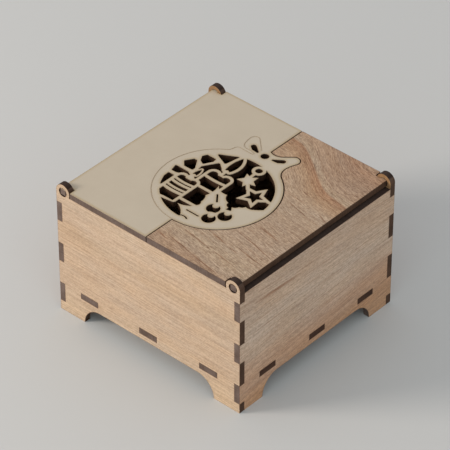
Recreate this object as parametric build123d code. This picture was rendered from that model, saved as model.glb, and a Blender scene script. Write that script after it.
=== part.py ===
from build123d import *
import math
import os

# A two-flap gift box, cut from one thickness of fibreboard sheet and slotted together.
# Frame: X runs along the front wall, Y to the back, Z up.  The origin is on the table,
# under the middle of the box.  All sizes are in millimetres.

# ---- driving sizes: the carcass -------------------------------------------------------
BOX_WIDTH = 105.0        # X, over the outer faces of the side walls
BOX_DEPTH = 100.0        # Y, over the outer faces of the front and back walls
WALL_HEIGHT = 64.5       # Z, from the table to the edge that the flaps lie on
BOARD = 3.0              # thickness of the sheet that every piece is cut from
FIT_GAP = 0.1            # play beside a tab or a finger, on the sides where it doesn't seat

FINGER = 10.0            # height of one finger of a side wall
FINGER_MARGIN = 5.0      # from the foot, and from the top edge, to the nearest finger
FINGER_COUNT = 3

FLOOR_HEIGHT = 12.2      # underside of the floor panel, above the table
TAB = 10.0               # length of one floor tab, along its wall
TAB_MARGIN = 12.8        # from a wall's outer corner to its first floor tab
TAB_COUNT = 3

FOOT_WIDTH = 14.6        # each foot where it stands on the table
ARCH_RISE = 9.5          # height of the raised lower edge between the feet, and its end radius

# ---- driving sizes: the hinges and the flaps ------------------------------------------
EAR_RADIUS = 3.9         # round ear at each top corner of the front and back walls
EAR_PLAY = 0.4           # between an ear's rim and the flap that turns round it
PIN_PLAY = 0.08          # between a square pin's corners and the round hole in the ear
PIN_INSET = 0.2          # how far a pin's end lies inside the wall's outer face
END_PLAY = 0.2           # between the flaps and the inner faces of the ears, at each end
SIDE_DROP = 0.6          # how far the side walls' tops lie below the flaps, to let them turn
SEAM = 0.5               # gap between the two flaps when they are shut

# ---- driving sizes: the bauble on the flaps -------------------------------------------
BALL_Y = -5.5            # centre of the ball, on the seam
BALL_RADIUS = 28.2
RIM = 3.5                # solid ring between the ball's outline and its window
BAR = 1.5                # width of the bars and outlines left standing in the window
THIN_BAR = 0.85          # width of the small flame's outline
SLIT = 0.75              # width of the veins cut in the holly leaves
GROOVE_WIDTH = 0.3       # engraved line that completes the bauble on the cream flap
GROOVE_DEPTH = 0.15
TAIL_ANGLE = 57.0        # where the bow runs into the ball, degrees above the X axis

# ---- the drawing grids, from the ball's centre, which go with the ball and its window --
BALL_UNITS = 28.2        # grid units in the ball's radius, for the bow
WINDOW_UNITS = 24.7      # grid units in the window's radius, for the fretwork
BERRY_UNITS = 3.1        # radius of a holly berry
GLINT_UNITS = 1.55       # radius of the glint left standing at a berry's edge
CORNER_UNITS = 0.6       # corner radius of the openings between a twig's needles
SAG_UNITS = 0.7          # how far a band round a candle hangs in its middle

# ---- worked out from those ------------------------------------------------------------
half_width = BOX_WIDTH / 2
half_depth = BOX_DEPTH / 2
inner_half_width = half_width - BOARD
inner_half_depth = half_depth - BOARD
hinge_x = half_width - EAR_RADIUS
hinge_z = WALL_HEIGHT + BOARD / 2
ear_hole_radius = BOARD / math.sqrt(2) + PIN_PLAY
window_radius = BALL_RADIUS - RIM
bow_unit = BALL_RADIUS / BALL_UNITS
window_unit = window_radius / WINDOW_UNITS


# ---- small drawing tools --------------------------------------------------------------
def block(x_low, x_high, y_low, y_high):
    """An upright rectangle given by its four limits."""
    middle = ((x_low + x_high) / 2, (y_low + y_high) / 2)
    return Pos(*middle) * Rectangle(x_high - x_low, y_high - y_low)


def disc(centre, radius):
    """A filled circle."""
    return Pos(*centre) * Circle(radius)


def enclosed(edges):
    """The face inside a closed run of edges."""
    return make_face(Curve() + edges)


def spread(count, limit):
    """Evenly spaced middles, from minus the limit to plus the limit."""
    return [limit * (2 * step / (count - 1) - 1) for step in range(count)]


# ---- the carcass ----------------------------------------------------------------------
finger_reach = WALL_HEIGHT / 2 - FINGER_MARGIN - FINGER / 2
finger_lows = [WALL_HEIGHT / 2 + middle - FINGER / 2 for middle in spread(FINGER_COUNT, finger_reach)]
tab_middles_x = spread(TAB_COUNT, half_width - TAB_MARGIN - TAB / 2)
tab_middles_y = spread(TAB_COUNT, half_depth - TAB_MARGIN - TAB / 2)


def arch(half_span):
    """Opening under a wall between its feet, with a quarter circle at each end."""
    half_flat = half_span - FOOT_WIDTH - ARCH_RISE
    opening = block(-half_flat, half_flat, -ARCH_RISE, ARCH_RISE)
    for side in (-1, 1):
        opening += disc((side * half_flat, 0), ARCH_RISE)
    return opening


def floor_slots(middles):
    """Slots that the floor's tabs rest in: play above and beside a tab, none below it."""
    slots = Sketch()
    for middle in middles:
        reach = TAB / 2 + FIT_GAP
        slots += block(middle - reach, middle + reach, FLOOR_HEIGHT, FLOOR_HEIGHT + BOARD + FIT_GAP)
    return slots


def long_wall_drawing():
    """Front or back wall, in X and Z: notched ends, two hinge ears and an arched foot."""
    wall = block(-half_width, half_width, 0, WALL_HEIGHT)
    for side in (-1, 1):
        outer_side = sorted((side * hinge_x, side * half_width))
        notched_end = sorted((side * inner_half_width, side * half_width))
        wall += disc((side * hinge_x, hinge_z), EAR_RADIUS)
        wall += block(*outer_side, WALL_HEIGHT - BOARD, hinge_z)
        wall -= disc((side * hinge_x, hinge_z), ear_hole_radius)
        for low in finger_lows:
            wall -= block(*notched_end, low, low + FINGER + FIT_GAP)
    return wall - arch(half_width) - floor_slots(tab_middles_x)


def side_wall_drawing():
    """Left or right wall, in Y and Z: fingers at both ends and an arched foot."""
    wall = block(-inner_half_depth, inner_half_depth, 0, WALL_HEIGHT - SIDE_DROP)
    for low in finger_lows:
        wall += block(-half_depth, half_depth, low, low + FINGER)
    return wall - arch(half_depth) - floor_slots(tab_middles_y)


def floor_drawing():
    """Floor panel, in X and Y: its shoulders meet the walls and its tabs go through them."""
    panel = block(-inner_half_width, inner_half_width, -inner_half_depth, inner_half_depth)
    for middle in tab_middles_x:
        panel += block(middle - TAB / 2, middle + TAB / 2, -half_depth, half_depth)
    for middle in tab_middles_y:
        panel += block(-half_width, half_width, middle - TAB / 2, middle + TAB / 2)
    return panel


def flap_blank():
    """The flap on the +X side: a plate notched round the ears, with a square pin at each end."""
    plate = block(SEAM / 2, hinge_x + BOARD / 2, -half_depth, half_depth)
    between_ears = inner_half_depth - END_PLAY
    for side in (-1, 1):
        end = sorted((side * between_ears, side * half_depth))
        pin = sorted((side * between_ears, side * (half_depth - PIN_INSET)))
        plate -= block(hinge_x - EAR_RADIUS - EAR_PLAY, half_width, *end)
        plate += block(hinge_x - BOARD / 2, hinge_x + BOARD / 2, *pin)
    return plate


# ---- the bauble's outline and its bow -------------------------------------------------
def on_bow(x, y):
    """A point of the bow, on its grid."""
    return (x * bow_unit, BALL_Y + y * bow_unit)


def on_ball(angle):
    """A point of the ball's outline."""
    turn = math.radians(angle)
    return (BALL_RADIUS * math.cos(turn), BALL_Y + BALL_RADIUS * math.sin(turn))


def flowing(start_angle, points):
    """Arcs through the points, each one leaving in the direction in which the last arrived."""
    turn = math.radians(start_angle)
    direction = Vector(math.cos(turn), math.sin(turn))
    edges = []
    for start, end in zip(points, points[1:]):
        edge = TangentArc(start, end, tangent=direction)
        direction = edge % 1
        edges.append(edge)
    return edges


def bauble_half():
    """Right half of the bauble with the bow's loop, closed a little beyond the seam."""
    top = on_bow(0, 34.7)
    bottom = on_ball(-90)
    loop = [top, on_bow(6.6, 35.5), on_bow(10.0, 38.5), on_bow(13.9, 35.5), on_bow(12.4, 30.5)]
    bow = flowing(-28, loop + [on_ball(TAIL_ANGLE)])
    ball = ThreePointArc(on_ball(TAIL_ANGLE), on_ball(0), bottom)
    back = Polyline(bottom, (-SEAM, bottom[1]), (-SEAM, top[1]), top)
    return enclosed(bow + [ball] + back.edges())


def engraved_lines():
    """Lines of the bauble's left half: the ball, the bow's loop and the ribbon's tail."""
    tail_foot = on_ball(180 - TAIL_ANGLE)
    loop = [on_bow(-3.7, 32.8), on_bow(-9.7, 38.7), on_bow(-13.5, 37.0), on_bow(-12.8, 32.4)]
    loop += [on_bow(-9.0, 29.8), on_bow(-4.4, 28.9)]
    tail = [tail_foot, on_bow(-14.0, 26.4), on_bow(-11.8, 28.4), on_bow(-4.6, 28.3)]
    ball = ThreePointArc(tail_foot, on_ball(180), on_ball(-90))
    return trace(Curve() + [ball] + flowing(135, loop) + flowing(40, tail), GROOVE_WIDTH)


def bow_holes():
    """Round hole in the knot, on the seam, and a drop-shaped hole in each loop."""
    holes = disc(on_bow(0, 30.8), 1.95 * bow_unit)
    for side in (-1, 1):
        rounds = ShapeList()
        for x, y, radius in ((4.4, 31.0, 0.55), (6.9, 31.7, 1.05), (8.4, 33.1, 1.3)):
            rounds += disc(on_bow(side * x, y), radius * bow_unit).edges()
        holes += make_hull(rounds)
    return holes


# ---- the fretwork in the bauble's window ----------------------------------------------
# The motifs are drawn on the window's grid, while bars, outlines and slits keep their own width.
# Each motif gives what stays standing and what is open inside that; later ones lie in front.
def spot(x, y):
    """A point of the fretwork, on its grid."""
    return (x * window_unit, BALL_Y + y * window_unit)


def dot(x, y, radius):
    """A filled circle of the fretwork, drawn on its grid."""
    return disc(spot(x, y), radius * window_unit)


def bowed(start, end, depth):
    """An edge between two spots: straight, or an arc that swells to the right by its depth."""
    if depth == 0:
        return Line(spot(*start), spot(*end))
    return SagittaArc(spot(*start), spot(*end), -depth * window_unit)


def bar(start, end, width=BAR):
    """A straight bar with round ends, from one spot to another."""
    run = Line(spot(*start), spot(*end))
    return trace(run, width) + disc(spot(*start), width / 2) + disc(spot(*end), width / 2)


def star(centre, tip_radius, notch_radius, first_tip):
    """A five-pointed star; first_tip is the direction of one tip in degrees."""
    points = []
    for step in range(10):
        radius = notch_radius if step % 2 else tip_radius
        turn = math.radians(first_tip + 36 * step)
        points.append(spot(centre[0] + radius * math.cos(turn), centre[1] + radius * math.sin(turn)))
    return make_face(Polyline(*points, close=True))


def flame(tip, left, right, left_belly, right_belly):
    """A candle flame: two bellied sides from a level foot up to a tip."""
    return enclosed([bowed(tip, left, left_belly), bowed(left, right, 0), bowed(right, tip, right_belly)])


def candle(left, right, top, foot, inset):
    """A candle, drawn in by inset from its sides and top: a stem under two humps of wax."""
    hump = (right - left) / 4
    shoulder = top - hump
    middles = [spot(left + hump, shoulder), spot(right - hump, shoulder)]
    low_left = spot(left, foot)
    high_right = spot(right, shoulder)
    body = block(low_left[0] + inset, high_right[0] - inset, low_left[1], high_right[1])
    body += block(middles[0][0], middles[1][0], low_left[1], high_right[1] + inset / 2)
    for middle in middles:
        body += disc(middle, hump - inset)
    return body


def band(left, right, low, high):
    """A band round a candle, hanging lower in its middle."""
    corners = [(left, low), (right, low), (right, high), (left, high)]
    sags = [SAG_UNITS, 0, -SAG_UNITS, 0]
    return enclosed([bowed(*run) for run in zip(corners, corners[1:] + corners[:1], sags)])


def petal(corners):
    """A rounded opening: the hull of one small disc at each corner."""
    edges = ShapeList()
    for corner in corners:
        edges += dot(*corner, CORNER_UNITS).edges()
    return make_hull(edges)


def facet(corners):
    """The straight-sided face inside some spots."""
    return make_face(Polyline(*[spot(*corner) for corner in corners], close=True))


def twig():
    """A fir twig across the upper left of the window, drawn by the openings between its needles."""
    standing = facet([(-30, -19), (-19, -19), (-5.2, 12.0), (-7.5, 26.0), (-30, 26.0)])
    opened = petal([(-15.3, 18.4), (-8.1, 22.4), (-9.5, 15.9)])
    opened += petal(
        [(-19.8, 13.1), (-19.0, 14.7), (-14.8, 14.7), (-14.6, 13.1), (-16.5, 9.6), (-18.4, 10.6)]
    )
    opened += petal([(-23.4, 5.5), (-21.3, 8.8), (-20.3, 8.8), (-17.4, 4.2), (-17.4, 3.3), (-21.2, 3.2)])
    opened += petal([(-24.0, 0.3), (-17.7, 0.2), (-15.9, -0.7), (-21.3, -2.6), (-23.2, -2.6)])
    opened += petal([(-22.9, -5.6), (-20.8, -5.6), (-20.8, -13.0), (-22.7, -8.6)])
    behind_flame = [(-11.0, -1.5), (-12.5, -1.0), (-15.4, 5.2), (-15.7, 7.4)]
    opened += facet([(-11.7, 13.9), (-11.0, 14.1), (-5.4, 9.7), (-5.4, 5.0)] + behind_flame)
    return standing, opened


def tall_candle():
    """Tall candle with a sagging band and two level ones, under a pointed flame."""
    shape = dict(left=-11.6, right=2.4, top=10.1, foot=-2.9)
    light = flame((-5.7, 23.3), (-6.35, 12.1), (-3.7, 12.1), 0.9, 1.7)
    standing = candle(**shape, inset=0) + offset(light, BAR) + bar((-5.0, 8.0), (-5.2, 11.0))
    standing += bar((-10.0, -3.65), (1.5, -3.65)) + bar((-8.0, -15.3), (2.0, -15.3))
    inside = candle(**shape, inset=BAR) - band(-12.0, 3.0, 3.3, 4.8)
    return standing, inside + light - dot(-5.0, 11.6, 1.0)


def short_candle():
    """Short candle in front of it, wound with four bands, under a small flame."""
    shape = dict(left=-20.05, right=-7.25, top=-0.8, foot=-18.7)
    light = flame((-13.9, 5.6), (-14.95, 0.9), (-12.85, 0.9), 0.35, 0.45)
    standing = candle(**shape, inset=0) + offset(light, THIN_BAR) + bar((-13.9, -3.0), (-13.9, 0.4))
    standing += bar((-16.0, -19.8), (-8.2, -18.6))
    inside = candle(**shape, inset=BAR)
    for low, high in ((-6.2, -4.9), (-8.4, -7.0), (-11.3, -10.1), (-13.7, -12.1)):
        inside -= band(shape["left"], shape["right"], low, high)
    return standing, inside + light - dot(-13.9, 0.5, 0.8)


def stars():
    """A small star hanging on its ring from the rim, and a larger hollow one beside it."""
    large = (15.6, 6.2)
    standing = dot(5.05, 21.2, 3.2) + bar((5.1, 18.6), (5.2, 15.5))
    standing += star((6.0, 13.0), 4.9, 2.45, 64) + bar((7.2, 11.4), (9.8, 8.6), 1.2 * BAR)
    standing += star(large, 7.9, 3.95, 84) + bar((21.5, 7.3), (26.0, 7.1))
    return standing, dot(5.05, 21.2, 1.65) + star(large, 4.45, 2.1, 84)


def berry(centre, glint):
    """A round berry, with a round glint left standing at its edge."""
    return dot(*centre, BERRY_UNITS) - dot(*glint, GLINT_UNITS)


def holly():
    """Holly leaves grown together into the rim, with veins and three berries with a glint."""
    # each spike of the leaves' edge, and how deep the edge is hollowed on the way to the next
    spikes = [
        ((-1.0, 2.3), 1.3), ((6.1, -0.5), 0.8), ((10.0, -4.2), 0.7), ((12.3, -6.7), 0),
        ((12.3, -8.4), 0), ((14.8, -7.8), 0), ((13.3, -5.6), 0.5), ((15.5, -3.5), 0.5),
        ((17.5, -1.5), 0.25), ((20.6, -1.4), 0.2), ((25.3, 2.5), 0), ((26.5, -8.0), 0),
        ((12.0, -25.0), 0), ((0.5, -26.0), 0), ((0.5, -24.1), 0.7), ((-5.7, -18.7), 0.5),
        ((0.0, -16.2), 0), ((1.5, -14.0), 0.5), ((0.9, -11.4), 0.5), ((-0.6, -6.7), 0.8),
    ]
    edges = [bowed(start, end, dip) for (start, dip), (end, _) in zip(spikes, spikes[1:] + spikes[:1])]
    front = (11.05, -17.8)
    opened = berry((7.95, -11.4), (7.6, -9.2)) - disc(spot(*front), BERRY_UNITS * window_unit + BAR)
    opened += berry((15.3, -12.3), (14.8, -9.8)) + berry(front, (10.4, -15.5))
    opened += bar((2.9, -3.1), (6.1, -7.0), SLIT) + bar((0.3, -19.5), (6.7, -19.5), SLIT)
    opened += trace(bowed((4.5, -24.4), (0.2, -24.2), 0.9), SLIT)
    return enclosed(edges), opened


def window():
    """Everything that is cut out of the ball inside its rim."""
    whole = disc((0, BALL_Y), window_radius)
    opened = whole
    for standing, inside in (twig(), tall_candle(), short_candle(), stars(), holly()):
        opened = opened - standing + inside
    return opened & whole


# ---- the seven pieces -----------------------------------------------------------------
def cut_from_board(drawing, plane):
    """A piece of sheet: the drawing on a plane, one board thick along its normal."""
    return extrude(plane * drawing, amount=BOARD)


def front_wall():
    return cut_from_board(long_wall_drawing(), Plane.XZ.offset(inner_half_depth))


def back_wall():
    return cut_from_board(long_wall_drawing(), Plane.XZ.offset(-half_depth))


def right_wall():
    return cut_from_board(side_wall_drawing(), Plane.YZ.offset(inner_half_width))


def left_wall():
    return cut_from_board(side_wall_drawing(), Plane.YZ.offset(-half_width))


def floor_panel():
    return cut_from_board(floor_drawing(), Plane.XY.offset(FLOOR_HEIGHT))


def cream_flap():
    """Flap on the -X side; it carries the whole bauble, half of it beyond the seam."""
    drawing = mirror(flap_blank(), Plane.YZ) + bauble_half() - window() - bow_holes()
    flap = cut_from_board(drawing, Plane.XY.offset(WALL_HEIGHT))
    top_face = Plane.XY.offset(WALL_HEIGHT + BOARD)
    return flap - extrude(top_face * engraved_lines(), amount=-GROOVE_DEPTH)


def wood_flap():
    """Flap on the +X side, cut out round the bauble's right half with the seam's gap."""
    drawing = flap_blank() - offset(bauble_half(), SEAM)
    return cut_from_board(drawing, Plane.XY.offset(WALL_HEIGHT))


pieces = {
    "front_wall": front_wall(),
    "back_wall": back_wall(),
    "left_wall": left_wall(),
    "right_wall": right_wall(),
    "floor_panel": floor_panel(),
    "cream_flap": cream_flap(),
    "wood_flap": wood_flap(),
}

os.makedirs("parts", exist_ok=True)
for name, piece in pieces.items():
    export_step(piece, f"parts/{name}.step")
    print(name, len(piece.solids()), "solid,", round(piece.volume / 1000, 3), "cm3")
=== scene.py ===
# %% [markdown]
# # Dressing a laser-cut gift box
#
# The box is seven flat pieces of fibreboard, 3 mm thick, slotted together, with two flaps that turn on
# pins at their ends.  The frame that is loaded here already holds those pieces at their real size, so
# this lesson is about their skin: a printed oak foil, a cream foil, bare fibreboard, and the dark edges
# that a laser leaves.  Everything is written as node trees, because a node tree works the colour out
# from the place on the board.  It never runs out of resolution, and needs no picture and no unwrapping.
#
# First the frame is loaded, and the box that it fills is kept.

import bpy
import numpy as np
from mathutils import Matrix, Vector


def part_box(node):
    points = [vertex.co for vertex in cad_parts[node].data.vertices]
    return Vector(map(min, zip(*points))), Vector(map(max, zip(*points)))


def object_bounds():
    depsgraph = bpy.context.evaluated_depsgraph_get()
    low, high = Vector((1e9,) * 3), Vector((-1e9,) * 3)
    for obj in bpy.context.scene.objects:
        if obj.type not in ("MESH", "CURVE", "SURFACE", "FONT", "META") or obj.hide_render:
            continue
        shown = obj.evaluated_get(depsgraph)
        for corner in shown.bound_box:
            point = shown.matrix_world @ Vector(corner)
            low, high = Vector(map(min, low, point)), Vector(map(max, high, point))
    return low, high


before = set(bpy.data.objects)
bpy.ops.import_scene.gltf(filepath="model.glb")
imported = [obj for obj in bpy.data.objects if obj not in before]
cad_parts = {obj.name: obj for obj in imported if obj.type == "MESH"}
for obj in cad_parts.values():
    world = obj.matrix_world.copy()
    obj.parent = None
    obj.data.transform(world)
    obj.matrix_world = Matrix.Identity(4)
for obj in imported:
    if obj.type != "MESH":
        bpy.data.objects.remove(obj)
cad_low, cad_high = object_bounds()
print("pieces:", sorted(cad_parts))
print("box of the solids, mm:", [round(1000 * side) for side in cad_high - cad_low])

# %% [markdown]
# ## Colours
#
# Paint and print are easiest to name as the eye sees them on a screen, from 0 to 255.  A shader works
# with amounts of light instead, so each named colour goes through the screen's curve once.

# %% Colour helper
def seen(red, green, blue):
    """A colour as light: each channel is ((c / 255 + 0.055) / 1.055) to the power 2.4."""
    channels = (np.array([red, green, blue]) / 255 + 0.055) / 1.055
    return (*np.power(channels, 2.4).tolist(), 1.0)


print("a mid tan as light:", [round(channel, 3) for channel in seen(200, 170, 142)])

# %% [markdown]
# ## A short way to write node trees
#
# A material in Blender is a small graph: patterns go in on the left, a shader comes out on the right.
# Written by hand each node takes four or five lines, which hides the idea.  The class below keeps it to
# one line a node.  A value can be a plain number or colour, or the output of an earlier node.

# %% Recipe: one material's node tree
class Recipe:
    """One material, written as a list of nodes."""

    def __init__(self, name):
        self.material = bpy.data.materials.new(name)
        self.material.use_nodes = True
        self.tree = self.material.node_tree
        self.tree.nodes.clear()
        self.place = self.node("TexCoord")
        self.surface = self.node("NewGeometry")

    def put(self, value, socket):
        """Links an output to a socket, or writes a plain value into it."""
        if isinstance(value, bpy.types.NodeSocket):
            self.tree.links.new(value, socket)
        else:
            socket.default_value = value

    def node(self, kind, settings=(), **inputs):
        """Adds a node; settings are its own choices, and inputs are its sockets by name."""
        made = self.tree.nodes.new("ShaderNode" + kind)
        for name, choice in dict(settings).items():
            setattr(made, name, choice)
        for name, value in inputs.items():
            self.put(value, made.inputs[name.replace("_", " ")])
        return made

    def maths(self, operation, *values):
        """One step of arithmetic on numbers."""
        made = self.node("Math", {"operation": operation})
        for value, socket in zip(values, made.inputs):
            self.put(value, socket)
        return made.outputs[0]

    def dot(self, first, second):
        """The dot product of two directions."""
        made = self.node("VectorMath", {"operation": "DOT_PRODUCT"})
        self.put(first, made.inputs[0])
        self.put(second, made.inputs[1])
        return made.outputs["Value"]

    def ramp(self, value, low, high, low_out=0.0, high_out=1.0, shape="LINEAR"):
        """Stretches low..high to low_out..high_out, and stays level outside."""
        made = self.node("MapRange", {"clamp": True, "interpolation_type": shape}, Value=value)
        limits = {"From Min": low, "From Max": high, "To Min": low_out, "To Max": high_out}
        for name, limit in limits.items():
            made.inputs[name].default_value = limit
        return made.outputs[0]

    def mix(self, share, first, second, how="MIX"):
        """Goes from the first colour to the second, or with MULTIPLY to their product, as share grows."""
        made = self.node("Mix", {"data_type": "RGBA", "blend_type": how})
        # This node has sockets for numbers, vectors and colours under the same names, so they are counted.
        for value, socket in zip((share, first, second), (made.inputs[0], made.inputs[6], made.inputs[7])):
            self.put(value, socket)
        return made.outputs[2]

    def tones(self, value, stops):
        """A colour for each value: stops are pairs of a value from 0 to 1 and its colour."""
        made = self.node("ValToRGB", Fac=value)
        strip = made.color_ramp
        strip.interpolation = "EASE"
        while len(strip.elements) < len(stops):
            strip.elements.new(0.5)
        for element, (position, colour) in zip(strip.elements, stops):
            element.position = position
            element.color = colour
        return made.outputs[0]


print("a recipe line reads: recipe.node(kind, settings, socket=value)")

# %% [markdown]
# ## Where on a board are we?
#
# Every piece is cut from flat sheet, so its surface has three kinds of places: the printed face, the bare
# back, and the cut edges all round.  The surface normal tells them apart, as long as it is read in the
# piece's own space, which stays the same when a flap turns.  Patterns also need millimetres along and
# across the grain, and those are the object's coordinates measured along two directions.

# %% Helpers that read the board
ALONG_X, ALONG_Y, ALONG_Z = (1, 0, 0), (0, 1, 0), (0, 0, 1)
FACING = (0.65, 0.75)        # cosines of about 50 degrees away, where nothing counts, and 41, where all does


def facing(recipe, direction):
    """1 where the surface faces the direction, 0 where it turns 50 degrees or more away."""
    return recipe.ramp(recipe.dot(recipe.place.outputs["Normal"], direction), *FACING)


def sideways(recipe):
    """1 where the surface faces the left or the right side of the box, 0 where it faces front or back."""
    return recipe.maths("ABSOLUTE", recipe.dot(recipe.place.outputs["Normal"], ALONG_X))


def measured(recipe, direction):
    """Millimetres along a direction, from the origin."""
    return recipe.dot(recipe.place.outputs["Object"], [1000 * part for part in direction])


print("patterns read object coordinates, so they turn with a flap")

# %% [markdown]
# ## Noise with a shape
#
# Nearly everything on wood and board is an irregular patch that is longer one way than the other.  One
# helper makes them all: the two measures are divided by the size of a patch before they go into a noise,
# so the patches come out that many millimetres long and wide.  The seed moves to another part of the
# noise, so no two patterns are alike.  Noise seldom strays far from one half.  So each pattern further
# down has a spread, the two values between which it goes from one look to the other: the closer they
# are, the harder its marks.

# %% Noise helper
def speckle(recipe, along, across, size_along, size_across, seed, detail=2.0, through=0.0):
    """Noise from 0 to 1 whose patches are size_along by size_across millimetres.

    The fourth measure of the noise is the seed, and the third one, through, may follow the board's depth.
    """
    place = recipe.node("CombineXYZ")
    recipe.put(recipe.maths("DIVIDE", along, size_along), place.inputs[0])
    recipe.put(recipe.maths("DIVIDE", across, size_across), place.inputs[1])
    recipe.put(through, place.inputs[2])
    noise = recipe.node("TexNoise", {"noise_dimensions": "4D"}, Vector=place.outputs[0])
    noise.inputs["W"].default_value = seed
    noise.inputs["Scale"].default_value = 1.0
    noise.inputs["Detail"].default_value = detail
    return noise.outputs["Fac"]


def blend(recipe, *shares):
    """The sum of several patterns, each given with its share."""
    total = recipe.maths("MULTIPLY", *shares[0])
    for pattern, share in shares[1:]:
        total = recipe.maths("MULTIPLY_ADD", pattern, share, total)
    return total


print("one noise helper serves fibres, flecks, pores, clouds and soot")

# %% [markdown]
# ## The scorched edge
#
# A laser burns its way through fibreboard.  The cut comes out dark brown, with fine stripes that run
# straight through the thickness, one for each pulse, under a matt bloom of soot.  The cuts that face the
# sides are made darker than those that face the front, which is painted shade, and the ones that face up
# are made nearly black, which is painted shade for the walls' tops under the flaps.  Stripes could be
# drawn along an unwrapped edge, but noise that is squeezed along the edge and drawn out through the
# board gives them on every straight and curved cut at once.

# %% Scorched edge
SCORCH = seen(113, 96, 88)
SCORCH_DEEP = seen(88, 71, 62)
SIDEWAYS_PAINTED_SHADE = (0.55, 0.41, 0.29, 1.0)    # painted shade: what is left of the colour on cuts that face the sides
UPWARDS_PAINTED_SHADE = (0.30, 0.26, 0.24, 1.0)     # painted shade, and on cuts that face up
STRIPE, SOOT = 0.25, 6.0                   # millimetres along the edge
DRIFT = 0.25                               # patches that the noise moves on for each mm through the board
STRIPE_SHARE, SCORCH_SPREAD = 0.4, (0.38, 0.62)          # of the stripes beside the soot, and of both


def scorched(recipe, through):
    """Colour and height of a cut edge; through is the direction from one face of the board to the other."""
    sides = [direction for direction in (ALONG_X, ALONG_Y, ALONG_Z) if direction != through]
    first, second = (measured(recipe, direction) for direction in sides)
    depth = recipe.maths("MULTIPLY", measured(recipe, through), DRIFT)
    stripes = speckle(recipe, first, second, STRIPE, STRIPE, seed=3.1, detail=1.0, through=depth)
    soot = speckle(recipe, first, second, SOOT, SOOT, seed=8.4, detail=3.0, through=depth)
    shade = blend(recipe, (stripes, STRIPE_SHARE), (soot, 1 - STRIPE_SHARE))
    colour = recipe.mix(recipe.ramp(shade, *SCORCH_SPREAD), SCORCH_DEEP, SCORCH)
    # painted shade: cuts that face the sides are darkened
    colour = recipe.mix(sideways(recipe), colour, SIDEWAYS_PAINTED_SHADE, "MULTIPLY")
    # painted shade: cuts that face up, such as the walls' tops under the flaps, are darkened nearly to black
    return recipe.mix(facing(recipe, ALONG_Z), colour, UPWARDS_PAINTED_SHADE, "MULTIPLY"), stripes


print("stripes every", STRIPE, "mm, soot in patches of", SOOT, "mm")

# %% [markdown]
# ## The brown rim of a cut
#
# Heat also creeps a little way under the foil, so every cut has a thin toasted rim on the face beside
# it.  It could be painted by hand, or worked out from the distance to each outline.  The Bevel node
# finds it for nothing: it averages the surface's direction within a small radius, and where that average
# leans away from the face, a cut must be near.  How far it leans is read as a cosine, which is 1 where
# it doesn't.  The same node with a wider radius gives the faint tan haze that the smoke leaves on pale
# foil, up to a few millimetres in from the cut.

# %% Toasted rim
RIM_REACH, RIM_LEANS = 0.00045, (0.995, 0.86)    # metres, and the leans where the rim starts and is full
HAZE_REACH, HAZE_LEANS = 0.0025, (1.0, 0.92)     # the same for the smoke
BEVEL_SAMPLES = 6


def near_a_cut(recipe, reach, leans):
    """1 at a cut, falling to 0 inside the reach; leans are the two between which it does."""
    rounded = recipe.node("Bevel", {"samples": BEVEL_SAMPLES}, Radius=reach)
    lean = recipe.dot(rounded.outputs["Normal"], recipe.surface.outputs["Normal"])
    return recipe.ramp(lean, *leans)


print("heat reaches", round(1000 * RIM_REACH, 2), "mm in, smoke", round(1000 * HAZE_REACH, 2), "mm")

# %% [markdown]
# ## The bare back
#
# The board is printed on one side only.  Its back is plain pressed fibre: an even brown with short,
# tangled flecks.  Two noises of different size are enough, because nothing in it has a direction.
# Inside the box a painted shade is laid over it, from the top of the floor up to the flaps.

# %% Bare fibreboard
BARE = seen(166, 128, 90)
BARE_FLECK = seen(139, 104, 71)
TANGLE, BARE_CLOUD = (0.9, 0.5), (9.0, 7.0)  # millimetres long and wide
TANGLE_SHARE, TANGLE_SPREAD = 0.6, (0.40, 0.62)
INSIDE_PAINTED_SHADE = (0.50, 0.46, 0.42, 1.0)        # painted shade: what is left of the colour inside the box
FLOOR_TOP = 1000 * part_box("floor_panel")[1].z
FLAPS_LOW = 1000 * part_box("cream_flap")[0].z
SHADE_BEGINS = (FLOOR_TOP - 1.0, FLOOR_TOP - 0.5)        # heights between which it comes in
SHADE_ENDS = (FLAPS_LOW - 2.0, FLAPS_LOW - 1.0)


def bare(recipe, first, second):
    """Colour and height of unprinted fibreboard, from two measures in its plane."""
    tangle = speckle(recipe, first, second, *TANGLE, seed=5.7, detail=3.0)
    clouds = speckle(recipe, first, second, *BARE_CLOUD, seed=2.2)
    shade = blend(recipe, (tangle, TANGLE_SHARE), (clouds, 1 - TANGLE_SHARE))
    colour = recipe.mix(recipe.ramp(shade, *TANGLE_SPREAD), BARE_FLECK, BARE)
    up = measured(recipe, ALONG_Z)
    # painted shade inside the box, between the top of the floor and the flaps
    inside = recipe.maths("MULTIPLY", recipe.ramp(up, *SHADE_BEGINS), recipe.ramp(up, *SHADE_ENDS, 1.0, 0.0))
    return recipe.mix(inside, colour, INSIDE_PAINTED_SHADE, "MULTIPLY"), tangle


print("bare board, shaded between", round(SHADE_BEGINS[0], 1), "and", round(SHADE_ENDS[1], 1), "mm up")

# %% [markdown]
# ## The oak print
#
# The foil imitates sawn oak.  Oak reads as oak through marks of very different length: fibres of a
# thumb's length, flecks, pores, the sandy grain of the print, and here and there a growth line.  A growth
# line isn't a plain stripe: it starts sharply where the dark late wood stops, and fades away on the other
# side.  That is what a saw wave does, so the lines are the fraction of the level across the grain divided
# by their gap, after a slow noise has bent the level so that nothing looks ruled.

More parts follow.
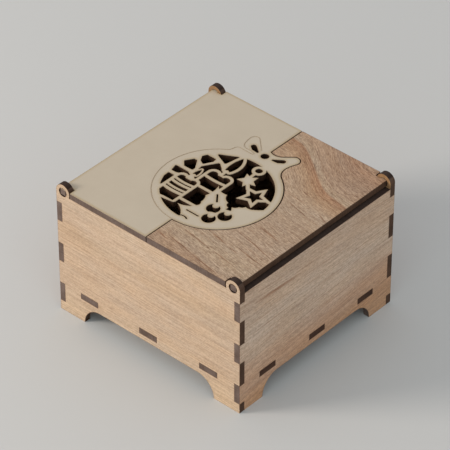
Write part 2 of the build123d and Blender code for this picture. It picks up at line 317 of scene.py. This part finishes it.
# %% Marks of the oak
FIBRE = (26.0, 0.60)         # millimetres along and across the grain, as for the marks that follow
FLECK = (4.6, 0.32)
PORE = (2.6, 0.24)
GRAIN = (1.1, 0.6)
BEND = (60.0, 14.0)          # the slow waves that bend the grain
BREAK = (19.0, 1.1)          # a growth line's stretches: millimetres along, and gaps between lines across
BREAK_SPREAD = (0.46, 0.62)
LINE_FADED, LINE_CRISP = 0.32, 0.93      # shares of the gap: where the fading ends, and the next line starts
STRAND_CORE = 0.1            # the share of a strand, by area, that is fully dark


def bent(recipe, run, level, amount, seed, size=BEND):
    """The level across the grain, pushed up and down by a slow noise, by up to half of amount."""
    wander = speckle(recipe, run, level, *size, seed, detail=1.0)
    return recipe.maths("MULTIPLY_ADD", recipe.maths("SUBTRACT", wander, 0.5), amount, level)


def growth_lines(recipe, run, level, gap, seed):
    """Thin lines, gap millimetres apart, crisp on one side and faded on the other, and broken up."""
    saw = recipe.maths("FRACT", recipe.maths("DIVIDE", level, gap))
    faded = recipe.ramp(saw, 0.0, LINE_FADED, 1.0, 0.0)
    crisp = recipe.ramp(saw, LINE_CRISP, 1.0)
    line = recipe.maths("MAXIMUM", faded, crisp)
    length, gaps = BREAK
    stretches = speckle(recipe, run, level, length, gaps * gap, seed + 5.0)
    return recipe.maths("MULTIPLY", line, recipe.ramp(stretches, *BREAK_SPREAD))


def strand(recipe, run, level, start, end, width):
    """1 in one long lens of darker wood that reaches from start to end, width millimetres to each side.

    With s the place along the lens and w the place across it, both from -1 to 1, it is s * s + w * w < 1,
    and it fades from its core outwards.
    """
    reach = np.subtract(end, start) / 2
    half = float(np.hypot(*reach))
    along_run, along_level = (reach / half).tolist()
    middle_run, middle_level = (np.add(start, end) / 2).tolist()
    run_off = recipe.maths("SUBTRACT", run, middle_run)
    level_off = recipe.maths("SUBTRACT", level, middle_level)
    s = blend(recipe, (run_off, along_run / half), (level_off, along_level / half))
    w = blend(recipe, (run_off, -along_level / width), (level_off, along_run / width))
    far = recipe.maths("MULTIPLY_ADD", s, s, recipe.maths("MULTIPLY", w, w))
    return recipe.ramp(far, STRAND_CORE, 1.0, 1.0, 0.0)


print("in mm: fibres", FIBRE, "flecks", FLECK, "pores", PORE, "grain", GRAIN)

# %% [markdown]
# The marks then tint the ground tone.  A mark could be a brown laid over the foil.  Here it multiplies
# the tone below instead, so the same fibres look right on a reddish band and on a grey one.  Contrast
# says how strongly a board is marked.

# %% Oak foil
MARK_SPREAD = (0.41, 0.59)
GRAIN_SHARE = 0.35                           # of the marks; fibres and flecks have the rest
DARK_TAKES = (0.40, 0.46, 0.50)              # what a dark mark takes of red, green and blue at contrast 1
LIGHT_ADDS = (0.34, 0.34, 0.32)              # and what a light one adds
CLOUD, CLOUD_SPREAD = (26.0, 9.0), (0.35, 0.65)
WARM_TINT, COOL_TINT = (1.03, 1.0, 0.96, 1.0), (0.98, 1.0, 1.03, 1.0)
LINE_TINT = (0.65, 0.51, 0.43, 1.0)          # what a dark line leaves of the colour
PORE_TINT = (0.66, 0.56, 0.48, 1.0)          # and what a pore leaves
PORE_SPREAD, PORE_DIP = (0.57, 0.66), (0.58, 0.70)       # of its colour and of its depth
FLECK_RELIEF, PORE_RELIEF = 0.5, 0.5         # what flecks and pores each add to the height


def oak(recipe, run, level, ground, contrast, seed, lines, pored, fibrous):
    """Colour and height of the oak foil over its ground tone.

    contrast is how strongly fibres show, pored how strongly pores do, fibrous the share of the longest
    marks; lines is a pattern of dark lines.  Each kind of mark has its own seed, counted from the board's.
    """
    fibres = speckle(recipe, run, level, *FIBRE, seed, detail=3.0)
    flecks = speckle(recipe, run, level, *FLECK, seed + 2.1, detail=3.0)
    pores = speckle(recipe, run, level, *PORE, seed + 4.7, detail=1.0)
    clouds = speckle(recipe, run, level, *CLOUD, seed + 6.2)
    grain = speckle(recipe, run, level, *GRAIN, seed + 8.3)
    marks = [(fibres, fibrous), (flecks, 1 - GRAIN_SHARE - fibrous), (grain, GRAIN_SHARE)]
    shade = blend(recipe, *[(recipe.ramp(mark, *MARK_SPREAD), share) for mark, share in marks])
    dark = (*(1 - part * contrast for part in DARK_TAKES), 1.0)
    light = (*(1 + part * contrast for part in LIGHT_ADDS), 1.0)
    clouded = recipe.mix(recipe.ramp(clouds, *CLOUD_SPREAD), WARM_TINT, COOL_TINT)
    colour = recipe.mix(1.0, ground, clouded, "MULTIPLY")
    colour = recipe.mix(1.0, colour, recipe.mix(shade, dark, light), "MULTIPLY")
    colour = recipe.mix(lines, colour, LINE_TINT, "MULTIPLY")
    colour = recipe.mix(recipe.ramp(pores, *PORE_SPREAD, 0.0, pored), colour, PORE_TINT, "MULTIPLY")
    sunk = recipe.ramp(pores, *PORE_DIP, 1.0, 0.0)
    return colour, blend(recipe, (flecks, FLECK_RELIEF), (sunk, PORE_RELIEF))


print("oak foil ready; each board gives its own ground tone")

# %% [markdown]
# ## The front and back walls
#
# Their foil is quarter-sawn: calm, with straight fine lines along the wall, and a slightly lighter band
# near the top over a faint darker one.  The ground is a strip of tones across the height.

# %% Print of the front and back walls
WALL_HEIGHT = 1000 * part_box("front_wall")[1].z
WALL_TONES = [(0.0, seen(194, 170, 144)), (0.30, seen(190, 165, 141)), (0.55, seen(189, 164, 140)),
              (0.66, seen(186, 161, 136)), (0.76, seen(192, 167, 143)), (0.88, seen(190, 166, 142)),
              (1.0, seen(191, 167, 142))]    # from the foot, 0, to the top of the ears, 1
WALL_LINES, WALL_LINE_SHARE = 1.5, 0.40      # millimetres between growth lines, and how strong they are
WALL_CONTRAST, WALL_PORES, WALL_FIBROUS = 0.60, 0.3, 0.48
WALL_LEAN, WALL_BEND = 0.01, 2.0             # millimetres of climb for each one along, and of bend


def long_wall_print(seed, lean):
    """A print for a wall that runs along X; lean is how far the grain climbs, in mm for each mm."""

    def lay(recipe):
        run = measured(recipe, ALONG_X)
        level = recipe.maths("MULTIPLY_ADD", run, lean, measured(recipe, ALONG_Z))
        level = bent(recipe, run, level, WALL_BEND, seed)
        ground = recipe.tones(recipe.ramp(level, 0.0, WALL_HEIGHT), WALL_TONES)
        lines = growth_lines(recipe, run, level, WALL_LINES, seed)
        lines = recipe.maths("MULTIPLY", lines, WALL_LINE_SHARE)
        return oak(recipe, run, level, ground, WALL_CONTRAST, seed, lines, WALL_PORES, WALL_FIBROUS)

    return lay


print("long walls: tones over", round(WALL_HEIGHT, 1), "mm of height")

# %% [markdown]
# ## The side walls
#
# Their foil is livelier: reddish near the top, a pale greyish stretch in the middle, and a red-brown
# foot.  The grain fans out, because the board was cut where the trunk widens.  So the level across the
# grain is the height plus a little more for each millimetre along, the more the higher it is.

# %% Print of the side walls
FAN_CENTRE = 0.6 * WALL_HEIGHT
FAN = 0.0035                 # mm of climb for each mm along and each mm above the centre
STREAK = ((-42.0, 53.0), (-9.0, 53.0), 0.9)  # a dark streak's ends, along the wall and up, and its width
SIDE_TONES = [(0.0, seen(182, 144, 113)), (0.10, seen(183, 143, 111)), (0.24, seen(189, 153, 126)),
              (0.36, seen(193, 162, 138)), (0.42, seen(195, 169, 147)), (0.60, seen(197, 174, 154)),
              (0.76, seen(194, 168, 146)), (0.86, seen(191, 165, 143)), (1.0, seen(192, 164, 140))]
SIDE_LINES, SIDE_LINE_SHARE = 2.6, 0.55
SIDE_CONTRAST, SIDE_PORES, SIDE_FIBROUS = 0.72, 0.45, 0.42
SIDE_BEND = 3.0


def side_wall_print(seed):
    """A print for a wall that runs along Y."""

    def lay(recipe):
        run, height = measured(recipe, ALONG_Y), measured(recipe, ALONG_Z)
        climb = recipe.maths("MULTIPLY", recipe.maths("SUBTRACT", height, FAN_CENTRE), FAN)
        level = recipe.maths("MULTIPLY_ADD", climb, run, height)
        level = bent(recipe, run, level, SIDE_BEND, seed)
        ground = recipe.tones(recipe.ramp(level, 0.0, WALL_HEIGHT), SIDE_TONES)
        lines = growth_lines(recipe, run, level, SIDE_LINES, seed)
        lines = recipe.maths("MULTIPLY", lines, SIDE_LINE_SHARE)
        lines = recipe.maths("MAXIMUM", lines, strand(recipe, run, level, *STREAK))
        return oak(recipe, run, level, ground, SIDE_CONTRAST, seed, lines, SIDE_PORES, SIDE_FIBROUS)

    return lay


print("side walls: the grain fans out from", round(FAN_CENTRE), "mm up")

# %% [markdown]
# ## The wood flap
#
# The right flap is a darker plank, cut slanting through the trunk.  Its growth lines run down to the
# right a little all over; behind the bauble they also drop by a step, as they do beside a knot.  So the
# level across the grain is the way back, plus a small lean, plus a smooth step that fades in from front
# to back.  One wide reddish band of late wood follows that step, growing slowly and ending at a crisp
# edge, with paler wood behind.  Last come a few strong dark strands, laid in one by one: noise gives a
# good crowd of marks, but the marks that stand alone have to be placed.

# %% Print of the wood flap
FLAP_FRONT, FLAP_BACK = (1000 * corner.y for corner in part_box("wood_flap"))
LEVEL_RANGE = (FLAP_FRONT - 1.0, FLAP_BACK + 26.0)
FLAP_LEAN = 0.17                             # millimetres of level for each one to the right
DROP, DROP_FROM, DROP_TO = 15.0, 4.0, 40.0   # millimetres: the step's height, and its ends along the run
DROP_FADES_IN = (-8.0, 20.0)                 # from nothing to all of it, millimetres on the way back
FLAP_TONES = [(-50, seen(171, 145, 121)), (-44, seen(169, 143, 120)), (-39, seen(174, 152, 130)),
              (-34, seen(176, 155, 132)), (-20, seen(174, 152, 131)), (0, seen(171, 149, 128)),
              (20, seen(174, 152, 130)), (26, seen(176, 154, 132)), (34, seen(172, 146, 121)),
              (38, seen(169, 140, 113)), (41, seen(166, 134, 107)), (43.4, seen(159, 123, 96)),
              (44.4, seen(173, 152, 130)), (50, seen(169, 144, 122)), (56, seen(165, 138, 115)),
              (66, seen(164, 134, 111)), (74, seen(167, 140, 116))]      # by level, in millimetres
FLAP_LINES, FLAP_LINE_SHARE = 4.4, 0.5
FLAP_CONTRAST, FLAP_PORES, FLAP_FIBROUS = 1.1, 0.9, 0.22
FLAP_BEND, FLAP_SEED = 2.0, 21.0
RIPPLE, RIPPLE_SIZE = 1.2, (9.0, 9.0)        # how far a placed strand wanders, and in waves of what size
# Each strand's ends, across the box and on the way back, and how far it reaches to each side.
STRANDS = [((5.0, -34.8), (27.0, -38.4), 0.40), ((25.0, -38.0), (42.0, -40.6), 0.32),
           ((6.0, -42.6), (22.0, -45.8), 0.48), ((18.0, -45.2), (41.0, -49.2), 0.48),
           ((17.0, -29.0), (30.0, -31.9), 0.50), ((29.0, -31.8), (37.0, -33.5), 0.36),
           ((32.0, -29.8), (51.0, -32.7), 0.42), ((26.0, -21.0), (51.0, -27.2), 0.42),
           ((29.0, -12.6), (46.0, -16.2), 0.46), ((0.0, -43.6), (8.0, -45.4), 0.45),
           ((21.0, 12.7), (38.0, 11.2), 0.28), ((26.0, 8.7), (44.0, 3.8), 0.34),
           ((43.0, 10.2), (51.0, 6.6), 0.36), ((27.0, 17.8), (34.0, 16.2), 0.28)]


def slanting_level(recipe, run, back):
    """The level across the slanting grain.

    It is back + lean * run + drop * s * w.  With u the place between the step's ends, from 0 to 1,
    s = u * u * (3 - 2 * u), and w goes evenly from 0 to 1 where the step fades in.
    """
    step = recipe.ramp(run, DROP_FROM, DROP_TO, 0.0, DROP, "SMOOTHSTEP")
    step = recipe.maths("MULTIPLY", step, recipe.ramp(back, *DROP_FADES_IN))
    level = recipe.maths("MULTIPLY_ADD", run, FLAP_LEAN, recipe.maths("ADD", back, step))
    return bent(recipe, run, level, FLAP_BEND, FLAP_SEED)


def wood_flap_print(recipe):
    """The slanting plank, with its reddish band, its growth lines and a few strong dark strands."""
    run, back = measured(recipe, ALONG_X), measured(recipe, ALONG_Y)
    level = slanting_level(recipe, run, back)
    low, high = LEVEL_RANGE
    stops = [((height - low) / (high - low), tone) for height, tone in FLAP_TONES]
    ground = recipe.tones(recipe.ramp(level, *LEVEL_RANGE), stops)
    lines = growth_lines(recipe, run, level, FLAP_LINES, FLAP_SEED)
    lines = recipe.maths("MULTIPLY", lines, FLAP_LINE_SHARE)
    rippled = bent(recipe, run, back, RIPPLE, FLAP_SEED + 6.0, RIPPLE_SIZE)
    for start, end, width in STRANDS:
        lines = recipe.maths("MAXIMUM", lines, strand(recipe, run, rippled, start, end, width))
    return oak(recipe, run, level, ground, FLAP_CONTRAST, FLAP_SEED, lines, FLAP_PORES, FLAP_FIBROUS)


print("wood flap: tones over levels", [round(level) for level in LEVEL_RANGE], "mm")

# %% [markdown]
# ## The cream flap
#
# The left flap and the bauble are one piece under plain cream foil, with only the faintest clouds.  The
# outline of the bauble goes on over the flap as an engraved line: the laser ran fast and burned
# only the foil away.  The groove is in the solid, so its tint only has to follow the depth below the face.
#
# The window is cut in many small openings.  The cuts in there are made far darker than those round the
# outside, most of all the ones that face the front, which is painted shade in the openings; and the foil
# beside a cut keeps a tan haze.  The painted shade depends on the distance from the bauble's centre, so
# it leaves the flap's outer edges as they are.

# %% Print of the cream flap
CREAM_DIM, CREAM = seen(184, 171, 152), seen(189, 176, 157)
CREAM_CLOUD, CREAM_GRAIN = (12.0, 10.0), (0.5, 0.5)      # millimetres
CREAM_CLOUD_SHARE, CREAM_SPREAD = 0.6, (0.35, 0.65)
SMOKE_HAZE = (0.87, 0.80, 0.65, 1.0)         # what the smoke leaves of the cream beside a cut
CREAM_TOP = 1000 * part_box("cream_flap")[1].z
GROOVE_DEPTH = 0.15                          # millimetres, as the two pairs of limits below
GROOVE_BEGINS = (0.004, 0.02)                # below the face: where the tint comes in
GROOVE_ENDS = (GROOVE_DEPTH + 0.01, GROOVE_DEPTH + 0.08)
GROOVE_BROWN = seen(184, 168, 147)
BAUBLE_CENTRE_Y = -5.5                       # millimetres
FRETWORK_REACH = (41.0, 42.0)                # from its centre: all of the painted shade, and none of it
FRETWORK_PAINTED_SHADE = (0.42, 0.33, 0.22, 1.0)          # painted shade: what is left of the colour on cuts in the fretwork
FRONT_PAINTED_SHADE = (0.75, 0.62, 0.50, 1.0)         # painted shade, once more on those that face the front
FRONTWARDS, FRONT_SPREAD = (0, -1, 0), (0.3, 0.9)


def cream_flap_print(recipe):
    """Plain cream foil, faintly clouded, with the smoke's haze beside each cut."""
    first, second = measured(recipe, ALONG_X), measured(recipe, ALONG_Y)
    clouds = speckle(recipe, first, second, *CREAM_CLOUD, seed=4.0, detail=3.0)
    grains = speckle(recipe, first, second, *CREAM_GRAIN, seed=6.0)
    shade = blend(recipe, (clouds, CREAM_CLOUD_SHARE), (grains, 1 - CREAM_CLOUD_SHARE))
    foil = recipe.mix(recipe.ramp(shade, *CREAM_SPREAD), CREAM_DIM, CREAM)
    haze = near_a_cut(recipe, HAZE_REACH, HAZE_LEANS)
    return recipe.mix(haze, foil, SMOKE_HAZE, "MULTIPLY"), grains


def shaded_fretwork(recipe, edge_colour):
    """Darkens the cuts within the reach of the bauble and its bow, and no others, as painted shade.

    How far a place is from the bauble's centre is the square root of x * x + y * y.
    """
    y = recipe.maths("SUBTRACT", measured(recipe, ALONG_Y), BAUBLE_CENTRE_Y)
    x_squared = recipe.maths("POWER", measured(recipe, ALONG_X), 2.0)
    away = recipe.maths("SQRT", recipe.maths("MULTIPLY_ADD", y, y, x_squared))
    inside = recipe.ramp(away, *FRETWORK_REACH, 1.0, 0.0)
    front = recipe.ramp(recipe.dot(recipe.place.outputs["Normal"], FRONTWARDS), *FRONT_SPREAD)
    # painted shade on the cuts in the fretwork, and more on those that face the front
    deep = recipe.mix(1.0, edge_colour, FRETWORK_PAINTED_SHADE, "MULTIPLY")
    deep = recipe.mix(front, deep, FRONT_PAINTED_SHADE, "MULTIPLY")
    return recipe.mix(inside, edge_colour, deep)


def engraved(recipe, colour):
    """Tints what lies within the engraving's depth below the face, and nothing on the face itself."""
    sunk = recipe.maths("SUBTRACT", CREAM_TOP, measured(recipe, ALONG_Z))
    inside = recipe.maths("MULTIPLY", recipe.ramp(sunk, *GROOVE_BEGINS),
                          recipe.ramp(sunk, *GROOVE_ENDS, 1.0, 0.0))
    return recipe.mix(inside, colour, GROOVE_BROWN)


print("cream face at", round(CREAM_TOP, 2), "mm, engraved", GROOVE_DEPTH, "mm deep")

# %% [markdown]
# ## One finish for a whole board
#
# Each board gets one material, which chooses between its face, its back and its edges by the normal.
# That keeps the solids exactly as they came, with nothing cut into separate faces.  Only foil toasts, so
# the brown rim belongs to the printed face alone.  The heights of the patterns go into one bump, of a
# few hundredths of a millimetre.  Foil and fibre are both matt, so the shine is low all over, and what
# there is changes with the roughness.

# %% Board finish
ROUGH_FACE, ROUGH_EDGE, ROUGH_BACK = 0.50, 0.78, 0.82
BOARD_SHINE = 0.2                            # specular level, the same all over
RELIEF, RELIEF_STRENGTH = 0.00004, 0.3       # metres of bump, and how strongly it tilts the light
POLISH = 0.08                                # how much smoother the high fibres of a face are
TOASTED_WOOD = (0.42, 0.30, 0.22, 1.0)       # what a toasted rim leaves of the colour
TOASTED_FLAP = (0.30, 0.19, 0.12, 1.0)
TOASTED_CREAM = (0.66, 0.52, 0.36, 1.0)


def finish_board(name, outward, axes, face, toasted, edge_extra=None, extra=None):
    """A board's material.

    outward is the printed side, axes are two directions in its plane, face is its print, and toasted is
    what a toasted rim leaves of the print.  edge_extra changes the colour of the edges, and extra the
    colour of the whole board.
    """
    recipe = Recipe(name)
    through = tuple(abs(part) for part in outward)
    face_colour, face_height = face(recipe)
    edge_colour, edge_height = scorched(recipe, through)
    if edge_extra:
        edge_colour = edge_extra(recipe, edge_colour)
    back_colour, back_height = bare(recipe, *[measured(recipe, axis) for axis in axes])
    is_face = facing(recipe, outward)
    is_back = facing(recipe, tuple(-part for part in outward))
    rim = near_a_cut(recipe, RIM_REACH, RIM_LEANS)
    flat = recipe.mix(is_back, recipe.mix(rim, face_colour, toasted, "MULTIPLY"), back_colour)
    is_flat = recipe.maths("MAXIMUM", is_face, is_back)
    colour = recipe.mix(is_flat, edge_colour, flat)
    if extra:
        colour = extra(recipe, colour)
    height = recipe.mix(is_back, recipe.mix(is_face, edge_height, face_height), back_height)
    roughness = recipe.maths("MULTIPLY_ADD", is_face, ROUGH_FACE - ROUGH_EDGE, ROUGH_EDGE)
    roughness = recipe.maths("MULTIPLY_ADD", is_back, ROUGH_BACK - ROUGH_EDGE, roughness)
    roughness = recipe.maths("MULTIPLY_ADD", face_height, -POLISH, roughness)
    bump = recipe.node("Bump", Height=height, Strength=RELIEF_STRENGTH, Distance=RELIEF)
    shader = recipe.node("BsdfPrincipled", Base_Color=colour, Roughness=roughness, Normal=bump.outputs[0])
    shader.inputs["Specular IOR Level"].default_value = BOARD_SHINE
    recipe.node("OutputMaterial", Surface=shader.outputs[0])
    return recipe.material


print("roughness of face, edge and back:", ROUGH_FACE, ROUGH_EDGE, ROUGH_BACK)

# %% [markdown]
# ## Dressing the pieces
#
# Now the list of boards: for each piece its printed side, two directions in its plane, its print, what
# a toasted rim leaves of its colour, and last any change to its edges and to the whole.  Walls of one
# kind share a print, and a seed of its own gives each its own marks.  The floor has no foil, so its print
# is bare board, and its tabs at the sides are a little darker than other cuts.  A material only goes
# into the slot that a piece already has.

# %% Dress the seven pieces
TAB_DARKENING = (0.75, 0.66, 0.65, 1.0)           # what is left of the colour on the floor's side tabs


def floor_print(recipe):
    """The floor panel is bare on top as well."""
    return bare(recipe, measured(recipe, ALONG_X), measured(recipe, ALONG_Y))


def darker_side_tabs(recipe, edge_colour):
    """Darkens the cuts that face the sides a little more."""
    return recipe.mix(sideways(recipe), edge_colour, TAB_DARKENING, "MULTIPLY")


BOARDS = {
    "front_wall": ((0, -1, 0), (ALONG_X, ALONG_Z), long_wall_print(1.0, WALL_LEAN), TOASTED_WOOD),
    "back_wall": ((0, 1, 0), (ALONG_X, ALONG_Z), long_wall_print(7.0, -WALL_LEAN), TOASTED_WOOD),
    "left_wall": ((-1, 0, 0), (ALONG_Y, ALONG_Z), side_wall_print(33.0), TOASTED_WOOD),
    "right_wall": ((1, 0, 0), (ALONG_Y, ALONG_Z), side_wall_print(13.0), TOASTED_WOOD),
    "floor_panel": ((0, 0, 1), (ALONG_X, ALONG_Y), floor_print, TOASTED_WOOD, darker_side_tabs),
    "cream_flap": ((0, 0, 1), (ALONG_X, ALONG_Y), cream_flap_print, TOASTED_CREAM,
                   shaded_fretwork, engraved),
    "wood_flap": ((0, 0, 1), (ALONG_X, ALONG_Y), wood_flap_print, TOASTED_FLAP),
}
for name, board in BOARDS.items():
    finish = finish_board(name + "_finish", *board)
    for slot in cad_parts[name].material_slots:
        slot.material = finish
    print(name, "dressed with", len(finish.node_tree.nodes), "nodes")

# %% [markdown]
# ## The table
#
# The box stands on a pale, slightly warm table top.  A single large square is enough.  Its colour is a
# middling white, because a pure white table would clip in the light and swallow the shadow.

# %% Table
TABLE_HALF = 3.0                             # metres from its middle to each side
TABLE_WHITE, TABLE_ROUGHNESS = (0.545, 0.543, 0.533, 1.0), 0.8

corners = TABLE_HALF * np.array([(-1, -1, 0), (1, -1, 0), (1, 1, 0), (-1, 1, 0)])
table_mesh = bpy.data.meshes.new("table")
table_mesh.from_pydata(corners.tolist(), [], [(0, 1, 2, 3)])
table = bpy.data.objects.new("table", table_mesh)
bpy.context.scene.collection.objects.link(table)

paint = Recipe("table_white")
shader = paint.node("BsdfPrincipled", Base_Color=TABLE_WHITE, Roughness=TABLE_ROUGHNESS)
paint.node("OutputMaterial", Surface=shader.outputs[0])
table_mesh.materials.append(paint.material)
print("table of", 2 * TABLE_HALF, "m")

# %% [markdown]
# ## Light
#
# Three soft lights: a round soft box to the left and in front, a pale wall on the right that throws some
# of its light back, and the rest of the room, which is even from all round.  How large a lamp looks from
# the object decides how soft a shadow's edge is.  The soft box hangs a metre and a half away, so what lies
# further from it is a little darker, as beside a real lamp.  The wall is far and wide: that is a sun lamp
# with a wide angle, whose shadows melt away.  The room is the world's colour.  On a level face
# the three add up to about one, so a colour there renders as it is written.

# %% Soft box, pale wall and room
MIDDLE = Vector((cad_low + cad_high) / 2)
SOFT_BOX_FROM = Vector((-0.65, -0.76, 0.46)).normalized()
SOFT_BOX_DISTANCE, SOFT_BOX_ACROSS = 1.5, 0.525             # metres
SOFT_BOX_COLOUR, SOFT_BOX_WATTS = (1.0, 0.912, 0.825), 15.4
PALE_WALL_FROM = Vector((0.60, -0.70, 0.60)).normalized()
PALE_WALL_DISTANCE = 1.5                                     # a sun lamp shines the same from anywhere
PALE_WALL_ANGLE = 1.2                                        # radians that it fills, seen from the object
PALE_WALL_COLOUR, PALE_WALL_STRENGTH = (0.68, 0.94, 1.0), 0.71
ROOM_COLOUR, ROOM_STRENGTH = (0.615, 0.604, 0.611, 1.0), 1.0


def hang(light, colour, energy, comes_from, distance):
    """Hangs a lamp in a direction from the object's middle, and turns it to face the object."""
    light.color = colour
    light.energy = energy
    lamp = bpy.data.objects.new(light.name, light)
    lamp.location = MIDDLE + distance * comes_from
    lamp.rotation_euler = comes_from.to_track_quat("Z", "Y").to_euler()
    bpy.context.scene.collection.objects.link(lamp)
    return lamp


soft_box = bpy.data.lights.new("soft_box", "AREA")
soft_box.shape = "DISK"
soft_box.size = SOFT_BOX_ACROSS
soft_box_lamp = hang(soft_box, SOFT_BOX_COLOUR, SOFT_BOX_WATTS, SOFT_BOX_FROM, SOFT_BOX_DISTANCE)
soft_box_lamp.visible_camera = False

pale_wall = bpy.data.lights.new("pale_wall", "SUN")
pale_wall.angle = PALE_WALL_ANGLE
hang(pale_wall, PALE_WALL_COLOUR, PALE_WALL_STRENGTH, PALE_WALL_FROM, PALE_WALL_DISTANCE)

room = bpy.data.worlds.new("room")
room.use_nodes = True
room.node_tree.nodes["Background"].inputs["Color"].default_value = ROOM_COLOUR
room.node_tree.nodes["Background"].inputs["Strength"].default_value = ROOM_STRENGTH
bpy.context.scene.world = room
print("the soft box looks", round(SOFT_BOX_ACROSS / SOFT_BOX_DISTANCE, 2), "radians wide")

# %% [markdown]
# ## Camera
#
# The box is seen over its front right corner, from a good metre away through a long lens.  A long lens
# keeps the upright edges nearly parallel, which is how small things look natural.  The camera is placed
# by where it stands and by the direction it looks along.  The view transform is Standard, so that colours
# come out as they are written; the default one would soften them.

# %% Camera
CAMERA_STANDS = (0.70072, -0.78271, 0.86668)
CAMERA_LOOKS = Vector((-0.52549, 0.58656, -0.61629))
LENS, SENSOR = 247.09, 36.0                  # millimetres: focal length, and width of the sensor

camera = bpy.data.objects.new("camera", bpy.data.cameras.new("camera"))
camera.data.lens = LENS
camera.data.sensor_width = SENSOR
camera.location = CAMERA_STANDS
camera.rotation_euler = CAMERA_LOOKS.to_track_quat("-Z", "Y").to_euler()
bpy.context.scene.collection.objects.link(camera)
bpy.context.scene.camera = camera
bpy.context.scene.view_settings.view_transform = "Standard"
print("camera", round(Vector(CAMERA_STANDS).length, 2), "m from the box")
